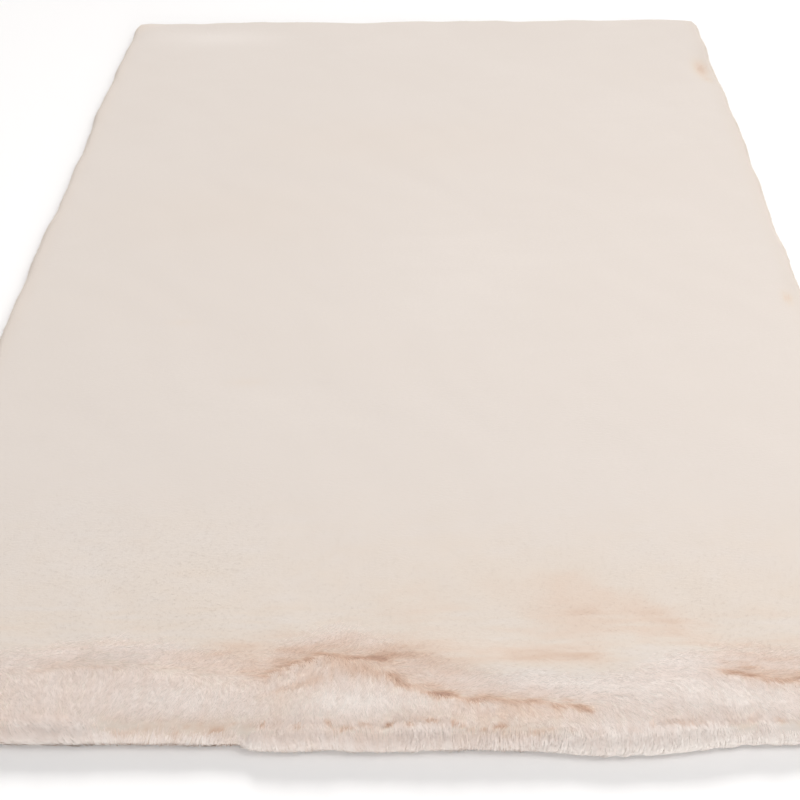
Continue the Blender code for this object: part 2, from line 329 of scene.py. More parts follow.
# How far the way the fur is combed wanders: (pitch across, pitch along, radians, seed).
WANDER = ((0.260, 0.200, 0.55, 21), (0.050, 0.040, 0.25, 22))
FRONT_WANDER = 1.6  # how much more it wanders in front of the comb line
COMB_TURN = 1.35  # how far it turns crosswise behind that line, in radians
TURN_FADE = (-0.72, -0.45)  # from this y to that the turn fades into the field
COMB_BAND = (-0.012, 0.022)  # where it swings round, from this far behind the line to that
PARTING_PUSH = (0.8, 0.009)  # how strongly a parting turns it aside, and how far from the line

# Where the near rim's hair is combed along the edge, towards +X: (x, half width, how far).
COMBED_ASIDE = ((-0.360, 0.070, 0.010), (-0.225, 0.045, -0.007))

# How tightly the near rim closes on the floor, where its lowest hair is painted darker as the shade at its
# contact: (x, share).
TIGHTNESS = (
    (-0.605, 1.0),
    (-0.165, 1.0),
    (-0.145, 0.5),
    (0.040, 0.4),
    (0.070, 0.6),
    (0.165, 0.6),
    (0.190, 0.4),
    (0.300, 0.3),
    (0.400, 0.4),
    (0.605, 0.6),
)

# The camera, fitted to the rug's outline in the photograph.
CAMERA_PLACE = (0.0360, -1.4784, 1.0675)
CAMERA_HEADING = 2.107  # degrees, turned from +Y towards -X
CAMERA_PITCH = 42.494  # degrees down
CAMERA_ROLL = -1.335  # degrees that its right side is raised
CAMERA_LENS = 51.5  # mm
SENSOR = 36.0  # mm

# The light: a white surround, and lamps that all shine at the rug's middle.
SURROUND = 0.38  # its strength
FAR_LAMPS = (  # (name, direction to it, strength, width in degrees)
    ("soft_key", (-0.12, 0.93, 0.46), 2.45, 14.0),
    ("front_fill", (0.30, -0.85, 0.38), 1.75, 40.0),
)
SIDE_BOX = ((1.3, -0.4, 2.1), 1.2, 15.0)  # its place, size and watts


def smooth_step(value, low, high):
    """0 below low, 1 above high, and a cubic between."""
    share = np.clip((value - low) / (high - low), 0, 1)
    return share * share * (3 - 2 * share)


def smooth_drop(value, low, high):
    """1 below low, 0 above high, and a cubic between."""
    return smooth_step(-value, -high, -low)


def soft_noise(x, y, across, along, seed):
    """Noise from -1 to 1: random values on a lattice, blended by cubic steps between."""
    values = np.random.default_rng(seed).uniform(-1, 1, (512, 512))
    u, v = np.asarray(x) / across + 4096, np.asarray(y) / along + 4096
    column, row = np.floor(u).astype(int), np.floor(v).astype(int)
    a, b = smooth_step(u - column, 0, 1), smooth_step(v - row, 0, 1)
    low = values[column % 512, row % 512] * (1 - a) + values[(column + 1) % 512, row % 512] * a
    row = row + 1
    high = values[column % 512, row % 512] * (1 - a) + values[(column + 1) % 512, row % 512] * a
    return low * (1 - b) + high * b


def bell(x, y, centre, half_length, half_width, turn):
    """A bell with an elliptical foot, 1 at its centre."""
    c, s = math.cos(math.radians(turn)), math.sin(math.radians(turn))
    along = c * (x - centre[0]) + s * (y - centre[1])
    aside = c * (y - centre[1]) - s * (x - centre[0])
    return np.exp(-((along / half_length) ** 2) - (aside / half_width) ** 2)


def parting_place(x, y, start, middle, end):
    """Where points lie by a bowed line: their offset to its left, and how far past its ends.

    The line is a parabola over the chord from start to end, through middle.
    """
    chord = np.subtract(end, start)
    length = math.hypot(*chord)
    along = (chord[0] * (x - start[0]) + chord[1] * (y - start[1])) / length**2
    aside = (chord[0] * (y - start[1]) - chord[1] * (x - start[0])) / length
    place = np.dot(chord, np.subtract(middle, start)) / length**2
    reach = (chord[0] * (middle[1] - start[1]) - chord[1] * (middle[0] - start[0])) / length
    bow = reach / (place * (1 - place))
    inside = np.clip(along, 0, 1)
    return aside - bow * inside * (1 - inside), np.abs(along - inside) * length


def roll_start(x, y):
    """How far behind the roll's start a place lies, and how clear that start is there."""
    line_x, line_y, strength = zip(*ROLL_LINE)
    return y - np.interp(x, line_x, line_y), np.interp(x, line_x, strength)


def pile_height(x, y):
    """The top of the pile over the floor, away from the rounded rim.

    Crossed rows of sines make the lumps, and bells are added for the mounds. Grooves with a
    bell's section are sunk along the partings and the roll's start. Lumps and grooves are
    shallower than the solid's, since the hair evens them out.
    """
    ruffle = 1 + RUFFLE_GAIN * np.clip((RUFFLE_START - y) / (LENGTH / 2 + RUFFLE_START), 0, 1)
    z = np.full(np.shape(x), PILE_HEIGHT)
    for across, along, phase, height in LUMPS:
        u, v = 2 * math.pi * x / across, 2 * math.pi * y / along
        rows = np.sin(u + LUMP_SWAY * np.sin(v / 2 + 2 * phase) + phase)
        rows = rows * np.sin(v + LUMP_SWAY * np.sin(u / 2 + 3 * phase))
        z = z + LUMP_SHARE * ruffle * height * rows
    for centre, half_length, half_width, turn, height in MOUNDS:
        z = z + height * bell(x, y, centre, half_length, half_width, turn)
    for line, (half_width, depth), _, _ in PARTINGS:
        off, past = parting_place(x, y, *line)
        z = z - depth * np.exp(-(off**2 + past**2) / half_width**2)
    off, strength = roll_start(x, y)
    return z - strength * ROLL_GROOVE[1] * np.exp(-((off / ROLL_GROOVE[0]) ** 2))


def fur_tone(x, y):
    """How dark the fur looks from above, from 0, its palest, to 1, the brown of its roots.

    Clouds of noise lie all over, with crosswise streaks behind the comb line and strands
    that run towards the edge in front of it. Bells are added for the patches, and bands with
    a bell's section and ragged edges along the partings and the roll's start. The band along
    the roll's start is tan roots and painted shade, and the band behind it is painted shade.
    """
    near = smooth_drop(y, *NEAR_FADE)
    behind = behind_line(x, y, -0.010, 0.010)
    clouds = soft_noise(x, y, 0.210, 0.120, 11)
    streaks = soft_noise(x, y, 0.060, 0.006, 12)
    fine_streaks = soft_noise(x, y, 0.018, 0.004, 14)
    strands = soft_noise(x, y, 0.005, 0.026, 16)
    tone = FIELD_TONE + NEAR_TONE * near
    tone = tone + (0.010 + 0.020 * near) * clouds
    tone = tone + (0.006 + 0.060 * near) * behind * streaks
    tone = tone + 0.050 * near * behind * fine_streaks
    tone = tone + 0.070 * (1 - behind) * strands
    for centre, half_length, half_width, turn, added in TONE_PATCHES:
        tone = tone + added * bell(x, y, centre, half_length, half_width, turn)
    # painted shade along the long sides
    side = smooth_step(np.abs(x), WIDTH / 2 - 0.050, WIDTH / 2 - 0.015)
    tone = tone + SIDE_SHADE_TONE * side * (1 - near)
    ragged = 0.0036 * soft_noise(x, y, 0.012, 0.030, 13)
    spots = 1.6 * smooth_step(soft_noise(x, y, 0.006, 0.005, 15), -0.35, 0.45)
    flecks = smooth_step(soft_noise(x, y, 0.018, 0.0032, 17), -0.6, 0.6)
    for line, _, (added, half_width), (band, band_width) in PARTINGS:
        off, past = parting_place(x, y, *line)
        dark = np.exp(-(((off + ragged) / half_width) ** 2) - (past / 0.010) ** 2)
        tone = tone + added * (0.6 + 0.6 * flecks) * dark
        off = (off - band_width / 2 + ragged) / band_width
        tone = tone + band * (0.7 + 0.6 * flecks) * np.exp(-(off**2) - (past / 0.020) ** 2)
    # painted shade along the roll's start, with tan roots in the gap, and in a band behind it
    off, strength = roll_start(x, y)
    dark = np.exp(-(((off + ragged) / ROLL_ROOTS_AND_SHADE[1]) ** 2))
    haze = np.exp(-(((off - ROLL_SHADE_BAND[1]) / ROLL_SHADE_BAND[2]) ** 2))
    spotted = ROLL_ROOTS_AND_SHADE[0] * (0.15 + 0.85 * spots) * dark
    tone = tone + strength * (spotted + ROLL_SHADE_BAND[0] * haze)
    return np.clip(tone, 0.02, 0.90)


def behind_line(x, y, low, high):
    """0 up to low behind the comb line, 1 from high behind it."""
    line_x, line_y = zip(*COMB_LINE)
    return smooth_step(y - np.interp(x, line_x, line_y), low, high)


def comb_heading(x, y):
    """The way the hair lies, as unit vectors in plan.

    In the field it lies away from the near edge and wanders a little. It turns crosswise
    towards COMB_LINE, and in front of that it lies towards the near edge. It leans away from
    both sides of each parting.
    """
    behind = behind_line(x, y, *COMB_BAND)
    wander = sum(turn * soft_noise(x, y, *pitch, seed) for *pitch, turn, seed in WANDER)
    angle = wander + COMB_TURN * smooth_drop(y, *TURN_FADE)
    out_x = behind * np.sin(angle) + (1 - behind) * np.sin(FRONT_WANDER * wander)
    out_y = behind * np.cos(angle) - (1 - behind) * np.cos(FRONT_WANDER * wander)
    for line, (half_width, _), _, _ in PARTINGS:
        off, past = parting_place(x, y, *line)
        chord = np.subtract(line[2], line[0]) / math.dist(line[0], line[2])
        near_line = np.exp(-(off**2 + past**2) / half_width**2)
        push = PARTING_PUSH[0] * np.clip(off / PARTING_PUSH[1], -1, 1) * near_line
        out_x, out_y = out_x - chord[1] * push, out_y + chord[0] * push
    size = np.maximum(np.hypot(out_x, out_y), 1e-6)
    return out_x / size, out_y / size


def round_corners(x, y, half_x, half_y):
    """Bends a rectangular grid's square corners into quarter circles, as in the solid."""
    a = np.maximum(np.abs(x) - (half_x - CORNER_RADIUS), 0) / CORNER_RADIUS
    b = np.maximum(np.abs(y) - (half_y - CORNER_RADIUS), 0) / CORNER_RADIUS
    cut_x = CORNER_RADIUS * a * (1 - np.sqrt(1 - b**2 / 2))
    cut_y = CORNER_RADIUS * b * (1 - np.sqrt(1 - a**2 / 2))
    return x - np.sign(x) * cut_x, y - np.sign(y) * cut_y


def waves(along, side):
    """How far a side draws in: sines added together, 0 at their outermost point."""
    total = 0.0
    for wavelength, phase, depth in EDGE_WAVES[side]:
        total = total + depth * (1 - np.sin(2 * math.pi * along / wavelength + phase)) / 2
    return total


def draw_in_edges(x, y, half_x, half_y):
    """Moves points inwards by the edges' unevenness, less the further in they are."""
    place, inset = zip(*NEAR_EDGE)
    near = np.interp(x, place, inset) * np.clip(1 - (y + half_y) / EDGE_FADE, 0, 1)
    far = waves(x, "far") * np.clip(1 - (half_y - y) / EDGE_FADE, 0, 1)
    left = waves(y, "left") * np.clip(1 - (x + half_x) / EDGE_FADE, 0, 1)
    right = waves(y, "right") * np.clip(1 - (half_x - x) / EDGE_FADE, 0, 1)
    return x + left - right, y + near - far


def shape_outline(x, y, inset):
    """Takes points of a plain rectangle, inset from the rug's box, to the rug's outline."""
    half_x, half_y = WIDTH / 2 - inset[0], LENGTH / 2 - inset[1]
    x, y = round_corners(x, y, half_x, half_y)
    return draw_in_edges(x, y, half_x, half_y)


def outline_points(inset, pitch):
    """The rug's outline, inset, as a closed ring of points anticlockwise from above."""
    half_x, half_y = WIDTH / 2 - inset[0], LENGTH / 2 - inset[1]
    across = np.linspace(-half_x, half_x, round(2 * half_x / pitch) + 1)[:-1]
    along = np.linspace(-half_y, half_y, round(2 * half_y / pitch) + 1)[:-1]
    x = np.concatenate([across, np.full(len(along), half_x), -across, np.full(len(along), -half_x)])
    y = np.concatenate([np.full(len(across), -half_y), along, np.full(len(across), half_y), -along])
    return np.stack(shape_outline(x, y, inset), axis=-1)


def place_object(name, data):
    """A new object in the scene, at the origin, unturned and unscaled."""
    piece = bpy.data.objects.new(name, data)
    bpy.context.scene.collection.objects.link(piece)
    return piece


def triangle_piece(name, points, triangles, material):
    """An object at the origin whose mesh is the given triangles, shaded smooth."""
    mesh = bpy.data.meshes.new(name)
    mesh.vertices.add(len(points))
    mesh.vertices.foreach_set("co", points.astype(np.float32).ravel())
    mesh.loops.add(triangles.size)
    mesh.loops.foreach_set("vertex_index", triangles.astype(np.int32).ravel())
    mesh.polygons.add(len(triangles))
    mesh.polygons.foreach_set("loop_start", np.arange(0, triangles.size, 3, dtype=np.int32))
    mesh.update(calc_edges=True)
    mesh.shade_smooth()
    mesh.materials.append(material)
    return place_object(name, mesh)


def paint_map(piece, places):
    """Gives a piece its UV map, one place for each corner of its faces."""
    layer = piece.data.uv_layers.new(name="OFBake")
    layer.data.foreach_set("uv", places.astype(np.float32).ravel())


def linear_colour(code):
    """A linear colour with alpha from an sRGB hex code such as e8ded5."""
    values = [int(code[k : k + 2], 16) / 255 for k in (0, 2, 4)]
    return [v / 12.92 if v <= 0.04045 else ((v + 0.055) / 1.055) ** 2.4 for v in values] + [1.0]


def add_node(tree, kind, links=(), **settings):
    """Adds a node, sets its properties and inputs, and links (output, input) pairs to it."""
    node = tree.nodes.new(kind)
    for key, value in settings.items():
        if hasattr(node, key):
            setattr(node, key, value)
        else:
            node.inputs[key.replace("_", " ")].default_value = value
    for output, socket in links:
        tree.links.new(output, node.inputs[socket])
    return node


def colour_ramp(tree, position, stops):
    """A ramp through (place, hex colour) stops."""
    ramp = add_node(tree, "ShaderNodeValToRGB", [(position, "Fac")])
    elements = ramp.color_ramp.elements
    while len(elements) < len(stops):
        elements.new(0.5)
    for element, (place, code) in zip(elements, stops):
        element.position = place
        element.color = linear_colour(code)
    return ramp.outputs["Color"]


def new_material(name, **settings):
    """A material with a Principled BSDF whose plain sockets are set, and its node tree."""
    material = bpy.data.materials.new(name)
    material.use_nodes = True
    tree = material.node_tree
    shader = tree.nodes["Principled BSDF"]
    for key, value in settings.items():
        shader.inputs[key.replace("_", " ")].default_value = value
    return material, tree, shader


# The colours of the dyed fur, from tone 0 to tone 1.
NAP_COLOURS = (
    (0.00, "ece4de"),
    (0.25, "d7cdc5"),
    (0.40, "d7cabe"),
    (0.55, "d6c3b4"),
    (0.75, "c9ab96"),
    (1.00, "9a7262"),
)
# The longer hair's colours are paler than the nap's: painted light that makes up for the shade among its
# strands.
HAIR_COLOURS = (
    (0.00, "f9f2ec"),
    (0.12, "f3e9e2"),
    (0.25, "ede0d8"),
    (0.45, "e9d8cd"),
    (0.60, "e3cbba"),
    (0.80, "d3b19a"),
    (1.00, "a87b69"),
)
ROOT_TONE = 0.25  # how much darker a hair's root is than its tip
ROOT_SHARE = 0.8  # and over what share of its map it pales


def hair_material(name, colours):
    """Dyed acrylic hair: pale and matt at its tips and tan at its roots, with a faint sheen.

    The map's u is the hair's tone and its v runs from root to tip.
    """
    material, tree, shader = new_material(
        name, Roughness=0.80, IOR=1.49, Sheen_Weight=0.12, Sheen_Roughness=0.6
    )
    shader.inputs["Sheen Tint"].default_value = linear_colour("fdeee2")
    place = add_node(tree, "ShaderNodeUVMap", uv_map="OFBake")
    split = add_node(tree, "ShaderNodeSeparateXYZ", [(place.outputs["UV"], "Vector")])
    deeper = add_node(
        tree,
        "ShaderNodeMapRange",
        [(split.outputs["Y"], "Value")],
        interpolation_type="SMOOTHSTEP",
        From_Min=0.0,
        From_Max=ROOT_SHARE,
        To_Min=ROOT_TONE,
        To_Max=0.0,
    )
    tone = add_node(
        tree,
        "ShaderNodeMath",
        [(split.outputs["X"], 0), (deeper.outputs["Result"], 1)],
        operation="ADD",
    )
    colour = colour_ramp(tree, tone.outputs["Value"], colours)
    tree.links.new(colour, shader.inputs["Base Color"])
    return material


def ground_material():
    """Packed acrylic fur under the hair: the same dye, matt, in fine streaks a few mm long, with the painted
    shade and light that its tone carries.
    """
    material, tree, shader = new_material(
        "acrylic_fur_ground", Roughness=0.90, IOR=1.49, Sheen_Weight=0.12, Sheen_Roughness=0.6
    )
    shader.inputs["Sheen Tint"].default_value = linear_colour("fdeee2")
    tone = add_node(tree, "ShaderNodeAttribute", attribute_name="tone")
    place = add_node(tree, "ShaderNodeTexCoord")
    streaks = add_node(
        tree,
        "ShaderNodeMapping",
        [(place.outputs["Object"], "Vector")],
        Scale=(1 / STREAK[0], 1 / STREAK[1], 1 / STREAK[0]),
    )
    grain = add_node(
        tree, "ShaderNodeTexNoise", [(streaks.outputs["Vector"], "Vector")], Scale=1.0, Detail=3.0
    )
    shift = add_node(
        tree,
        "ShaderNodeMath",
        [(grain.outputs["Fac"], 0), (tone.outputs["Fac"], 2)],
        operation="MULTIPLY_ADD",
    )
    shift.inputs[1].default_value = STREAK_TONE
    centred = add_node(
        tree, "ShaderNodeMath", [(shift.outputs["Value"], 0)], operation="SUBTRACT"
    )
    centred.inputs[1].default_value = STREAK_TONE / 2
    colour = colour_ramp(tree, centred.outputs["Value"], NAP_COLOURS)
    tree.links.new(colour, shader.inputs["Base Color"])
    bump = add_node(
        tree,
        "ShaderNodeBump",
        [(grain.outputs["Fac"], "Height")],
        Strength=0.20,
        Distance=0.0010,
    )
    tree.links.new(bump.outputs["Normal"], shader.inputs["Normal"])
    return material


def backing_material():
    """Warp-knitted polyester backing: off-white and matt, with ribs that run along the rug.

    The wave texture repeats after pi / 10 of its scaled length.
    """
    material, tree, shader = new_material(
        "knitted_polyester_backing", Roughness=0.85, IOR=1.57, Sheen_Weight=0.15
    )
    place = add_node(tree, "ShaderNodeTexCoord")
    ribs = add_node(
        tree,
        "ShaderNodeTexWave",
        [(place.outputs["Object"], "Vector")],
        bands_direction="X",
        Scale=math.pi / 10 / RIB_PITCH,
        Distortion=1.2,
        Detail=2.0,
    )
    colour = colour_ramp(tree, ribs.outputs["Fac"], ((0.0, "cfc6bd"), (1.0, "e2dbd3")))
    tree.links.new(colour, shader.inputs["Base Color"])
    bump = add_node(
        tree, "ShaderNodeBump", [(ribs.outputs["Fac"], "Height")], Strength=0.5, Distance=0.0006
    )
    tree.links.new(bump.outputs["Normal"], shader.inputs["Normal"])
    return material


def edge_spaced(low, high, pitch, near_pitch, near_band, low_shoulder):
    """Grid places from low to high, closing up towards both ends as a quarter circle does.

    Up to near_band past low they stand near_pitch apart, and pitch apart from there on.
    """
    rounded = 1 - np.cos(np.linspace(0, math.pi / 2, EDGE_STEPS))[:-1]
    start, split, stop = low + low_shoulder, low + near_band, high - FAR_SHOULDER
    near = np.linspace(start, split, round((split - start) / near_pitch) + 1)
    rest = np.linspace(split, stop, round((stop - split) / pitch) + 1)
    high_end = (high - FAR_SHOULDER * rounded)[::-1]
    return np.concatenate([low + low_shoulder * rounded, near[:-1], rest, high_end])


def quarter_round(inside, shoulder):
    """How high a rounded edge stands, as a share of full height, some way inside it."""
    return np.sqrt(1 - (1 - np.clip(inside / shoulder, 0, 1)) ** 2)


def tuck(share):
    """How far the rounded edge draws in under its widest place, at a share of its height."""
    return TUCK * np.clip(1 - share / TUCK_SHARE, 0, 1) ** 2


def ruffle(x, y):
    """How ruffled the fur is: 1 in front of the comb line, fading to 0 in the field."""
    return 1 - behind_line(x, y, *RUFFLE_FADE)


def ground_height(x, y):
    """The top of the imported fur, away from the rim: under the pile's top, with fine clumps."""
    ruffled = ruffle(x, y)
    sink = GROUND_SINK + (RUFFLED_SINK - GROUND_SINK) * ruffled
    clumps = FINE_CLUMPS * soft_noise(x, y, 0.013, 0.009, 31) * ruffled
    return pile_height(x, y) - sink + clumps


def rounded_height(x, y):
    """The ground's top with its near edge rounded down to the backing."""
    place, inset = zip(*NEAR_EDGE)
    inside = y + LENGTH / 2 - GROUND_INSET[1] - np.interp(x, place, inset)
    floor = BACKING_THICK + GAP
    return floor + (ground_height(x, y) - floor) * quarter_round(inside, NEAR_SHOULDER)


def ground_normal(x, y):
    """The ground's upward unit normals, from its rise over 2 mm either way."""
    step = 0.002
    across = (rounded_height(x + step, y) - rounded_height(x - step, y)) / (2 * step)
    along = (rounded_height(x, y + step) - rounded_height(x, y - step)) / (2 * step)
    normal = np.stack([-across, -along, np.ones(np.shape(x))], axis=-1)
    return normal / np.linalg.norm(normal, axis=-1, keepdims=True)


def make_ground(material):
    """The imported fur: a grid whose rim rounds down to the backing, closed by one level face.

    The height over the backing is the ground's times the lowest of the sides' quarter circles,
    and the foot of the rim draws in by its tuck. The map shows the top from above at its true
    shape, and the face below at 22 % beside it.
    """
    half_x, half_y = WIDTH / 2 - GROUND_INSET[0], LENGTH / 2 - GROUND_INSET[1]
    columns = edge_spaced(-half_x, half_x, COLUMN_PITCH, COLUMN_PITCH, half_x, FAR_SHOULDER)
    rows = edge_spaced(-half_y, half_y, FIELD_PITCH, RUFFLED_PITCH, RUFFLED_BAND, NEAR_SHOULDER)
    flat_x, flat_y = np.meshgrid(columns, rows)
    round_near = quarter_round(half_y + flat_y, NEAR_SHOULDER)
    round_far = quarter_round(half_y - flat_y, FAR_SHOULDER)
    round_sides = quarter_round(half_x - np.abs(flat_x), FAR_SHOULDER)
    share = np.minimum(np.minimum(round_near, round_far), round_sides)
    side_tuck = np.sign(flat_x) * tuck(round_sides)
    end_tuck = tuck(round_near) - tuck(round_far)
    x, y = shape_outline(flat_x - side_tuck, flat_y + end_tuck, GROUND_INSET)
    floor = BACKING_THICK + GAP
    z = floor + (ground_height(x, y) - floor) * share
    points = np.stack([x, y, z], axis=-1).reshape(-1, 3)
    index = np.arange(len(points)).reshape(x.shape)
    quads = np.stack(
        [index[:-1, :-1], index[:-1, 1:], index[1:, 1:], index[1:, :-1]], axis=-1
    ).reshape(-1, 4)
    rim = np.concatenate([index[0, :-1], index[:-1, -1], index[-1, :0:-1], index[:0:-1, 0]])
    mesh = bpy.data.meshes.new("fur_ground")
    mesh.from_pydata(points.tolist(), [], quads.tolist() + [rim[::-1].tolist()])
    mesh.shade_smooth()
    mesh.materials.append(material)
    tone = mesh.attributes.new("tone", "FLOAT", "POINT")
    darkness = fur_tone(points[:, 0], points[:, 1])
    tone.data.foreach_set("value", darkness.astype(np.float32))
    piece = place_object("fur_ground", mesh)
    corner = np.zeros(len(mesh.loops), np.int32)
    mesh.loops.foreach_get("vertex_index", corner)
    places = np.stack([points[corner, 0] / LENGTH + 0.36, points[corner, 1] / LENGTH + 0.5], axis=-1)
    under = len(quads) * 4
    places[under:] = (0.75, 0.75) + 0.22 * places[under:]
    paint_map(piece, places)
    return piece


def make_backing(material):
    """The backing cloth: the rug's outline, inset, drawn up into a thin closed slab."""
    ring = outline_points(BACKING_INSET, EDGE_PITCH)
    count = len(ring)
    low = np.column_stack([ring, np.zeros(count)])
    high = np.column_stack([ring, np.full(count, BACKING_THICK)])
    k = np.arange(count)
    walls = np.stack([k, (k + 1) % count, (k + 1) % count + count, k + count], axis=-1)
    faces = walls.tolist() + [k[::-1].tolist(), (k + count).tolist()]
    mesh = bpy.data.meshes.new("backing_cloth")
    mesh.from_pydata(np.vstack([low, high]).tolist(), [], faces)
    mesh.materials.append(material)
    return place_object("backing_cloth", mesh)


def hair_template(rings):
    """One hair's triangles and, for each corner, its side across the map and its ring.

    A hair has three-cornered rings, a closed root and a point for its tip.
    """
    triangles, side, level = [], [], []
    for ring in range(rings - 1):
        for a in range(3):
            b = (a + 1) % 3
            low, high = 3 * ring, 3 * ring + 3
            triangles += [(low + a, low + b, high + b), (low + a, high + b, high + a)]
            side += [(-1, 1, 1), (-1, 1, -1)]
            level += [(ring, ring, ring + 1), (ring, ring + 1, ring + 1)]
    last, tip = 3 * (rings - 1), 3 * rings
    for a in range(3):
        triangles.append((last + a, last + (a + 1) % 3, tip))
        side.append((-1, 1, 0))
        level.append((rings - 1, rings - 1, rings))
    triangles.append((2, 1, 0))
    side.append((-1, 1, 0))
    level.append((0, 0, 0.12))
    return np.array(triangles), np.array(side), np.array(level, float)


def soften_normals(piece, aside, above, soft, softness, rings):
    """Turns the shading of each hair's upper faces towards that of the fur it lies on.

    Soft hair scatters light from one strand to the next, so its strands hardly shade alone.
    The hair's underside and root keep their own normals.
    """
    count = len(soft)
    first = np.stack([-aside, above, aside], axis=2)
    blend = (1 - softness) * first + softness * soft[:, None, None, :]
    end = (1 - softness) * above[:, -1] + softness * soft
    corner = np.concatenate([blend.reshape(count, rings * 3, 3), end[:, None]], axis=1)
    triangles, _, _ = hair_template(rings)
    normals = corner[:, triangles]
    under = np.isin(triangles % 3, (2, 0)).all(axis=1) & (triangles < 3 * rings).all(axis=1)
    under |= (triangles[:, 0] % 3 == 2) & (triangles[:, 2] == 3 * rings)
    normals[:, under] = -above[:, :1, None, :].mean(axis=1, keepdims=True)
    back = len(triangles) - 1
    normals[:, back] = np.cross(aside[:, 0], above[:, 0])[:, None, :]
    normals = normals / np.linalg.norm(normals, axis=-1, keepdims=True)
    piece.data.normals_split_custom_set(normals.reshape(-1, 3))


def make_hair(name, path, width, depth, tone, soft, softness, material, root, up=UPWARDS):
    """Joined hairs: each carries a three-cornered section along its path, tapering to a tip.

    path is (hairs, points, 3) from root to tip. The section is width across and depth high.
    soft is the normal of the fur that each hair lies on, softness how far it is shaded as
    that fur is, and root the map's v at its root.
    """
    count, stations = path.shape[:2]
    rings = stations - 1
    way = np.diff(path, axis=1)
    way = way / np.maximum(np.linalg.norm(way, axis=2, keepdims=True), 1e-9)
    aside = np.cross(way, np.broadcast_to(up, way.shape))
    aside = aside / np.maximum(np.linalg.norm(aside, axis=2, keepdims=True), 1e-9)
    above = np.cross(aside, way)
    taper = (1 - np.linspace(0, 1, stations)[:-1] ** TAPER[1] * TAPER[0])[None, :, None]
    half = aside * (width[:, None, None] / 2) * taper
    high = above * depth[:, None, None] * taper
    centre = path[:, :-1]
    ring = np.stack([centre - half, centre + high, centre + half], axis=2)
    points = np.concatenate([ring.reshape(count, rings * 3, 3), path[:, -1:]], axis=1)
    triangles, side, level = hair_template(rings)
    start = (np.arange(count) * (3 * rings + 1))[:, None, None]
    piece = triangle_piece(name, points.reshape(-1, 3), (triangles + start).reshape(-1, 3), material)
    u = np.clip(tone, 0.03, 0.97)[:, None, None] + TONE_SPREAD * side
    v = np.broadcast_to(0.02 + root + (0.96 - root) * level / rings, u.shape)
    paint_map(piece, np.stack([u, v], axis=-1).reshape(-1, 2))
    soften_normals(piece, aside, above, soft, softness, rings)
    return piece


def clump_draw(x, y, heading, pitch, pull, seed):
    """How far each hair's tip is drawn to its clump, which is mostly to the hair's side.

    Clumps stand on a lattice, jittered, which wavers by some mm.
    """
    jitter = np.random.default_rng(seed).uniform(0, 1, (512, 512, 2))
    wavering_x = x + 0.8 * pitch * soft_noise(x, y, 2.3 * pitch, 1.9 * pitch, seed + 1)
    wavering_y = y + 0.8 * pitch * soft_noise(x, y, 1.9 * pitch, 2.3 * pitch, seed + 2)
    column = np.floor(wavering_x / pitch).astype(int)
    row = np.floor(wavering_y / pitch).astype(int)
    centre = jitter[column % 512, row % 512]
    draw_x = (column + centre[..., 0]) * pitch - wavering_x
    draw_y = (row + centre[..., 1]) * pitch - wavering_y
    along = 0.8 * (draw_x * heading[0] + draw_y * heading[1])
    return pull * (draw_x - along * heading[0]), pull * (draw_y - along * heading[1])


def scatter(chance, count, low_y, high_y, inset):
    """Places strewn evenly over the rug between two rows: one near each cell of a lattice."""
    half_x = WIDTH / 2 - inset
    pitch = math.sqrt(2 * half_x * (high_y - low_y) / count)
    columns, rows = round(2 * half_x / pitch), round((high_y - low_y) / pitch)
    column, row = np.meshgrid(np.arange(columns), np.arange(rows))
    column = column + 0.5 + chance.uniform(-STREW, STREW, column.shape)
    row = row + 0.5 + chance.uniform(-STREW, STREW, row.shape)
    x = -half_x + column * 2 * half_x / columns
    y = low_y + row * (high_y - low_y) / rows
    x, y = np.clip(x.ravel(), -half_x, half_x), np.clip(y.ravel(), low_y, high_y)
    return shape_outline(x, y, (inset, inset))


def lying_path(x, y, heading, length, bend, lift, draw):
    """Straight paths of hairs that lie on the ground, each from its root to its tip.

    A tip lies length away, turned by bend from the heading and drawn to its clump. It stands
    lift over the ground, and the root lies just under it.
    """
    across, along = heading
    tip_x = x + length * (across * np.cos(bend) - along * np.sin(bend)) + draw[0]
    tip_y = y + length * (across * np.sin(bend) + along * np.cos(bend)) + draw[1]
    root = np.stack([x, y, rounded_height(x, y) - ROOT_SINK], axis=-1)
    tip = np.stack([tip_x, tip_y, rounded_height(tip_x, tip_y) + lift], axis=-1)
    return np.stack([root, tip], axis=1)


def make_nap(name, seed, count, low, high, width, length, material):
    """Short combed nap over part of the field: tapering tufts that lie one over another."""
    chance = np.random.default_rng(seed)
    x, y = scatter(chance, count, low, high, NAP_INSET)
    count = len(x)
    heading = comb_heading(x, y)
    draw = clump_draw(x, y, heading, *NAP_CLUMPS, 102)
    lift = chance.uniform(*NAP_LIFTS, count)
    length = length * chance.uniform(*NAP_SIZES, count)
    path = lying_path(x, y, heading, length, chance.normal(0, NAP_BEND, count), lift, draw)
    size = width * chance.uniform(*NAP_WIDTHS, count)
    tone = fur_tone(x, y) + chance.normal(0, NAP_SCATTER, count)
    soft = ground_normal(x, y)
    return make_hair(name, path, size, size * NAP_FLAT, tone, soft, SOFTNESS, material, NAP_ROOT)


def near_gap(x, y):
    """How long hair is, as a share: 1 in the open, less by a bell just behind the roll's start."""
    loss, behind, half_width = ROLL_GAP
    off, strength = roll_start(x, y)
    return 1 - loss * strength * np.exp(-(((off - behind) / half_width) ** 2))


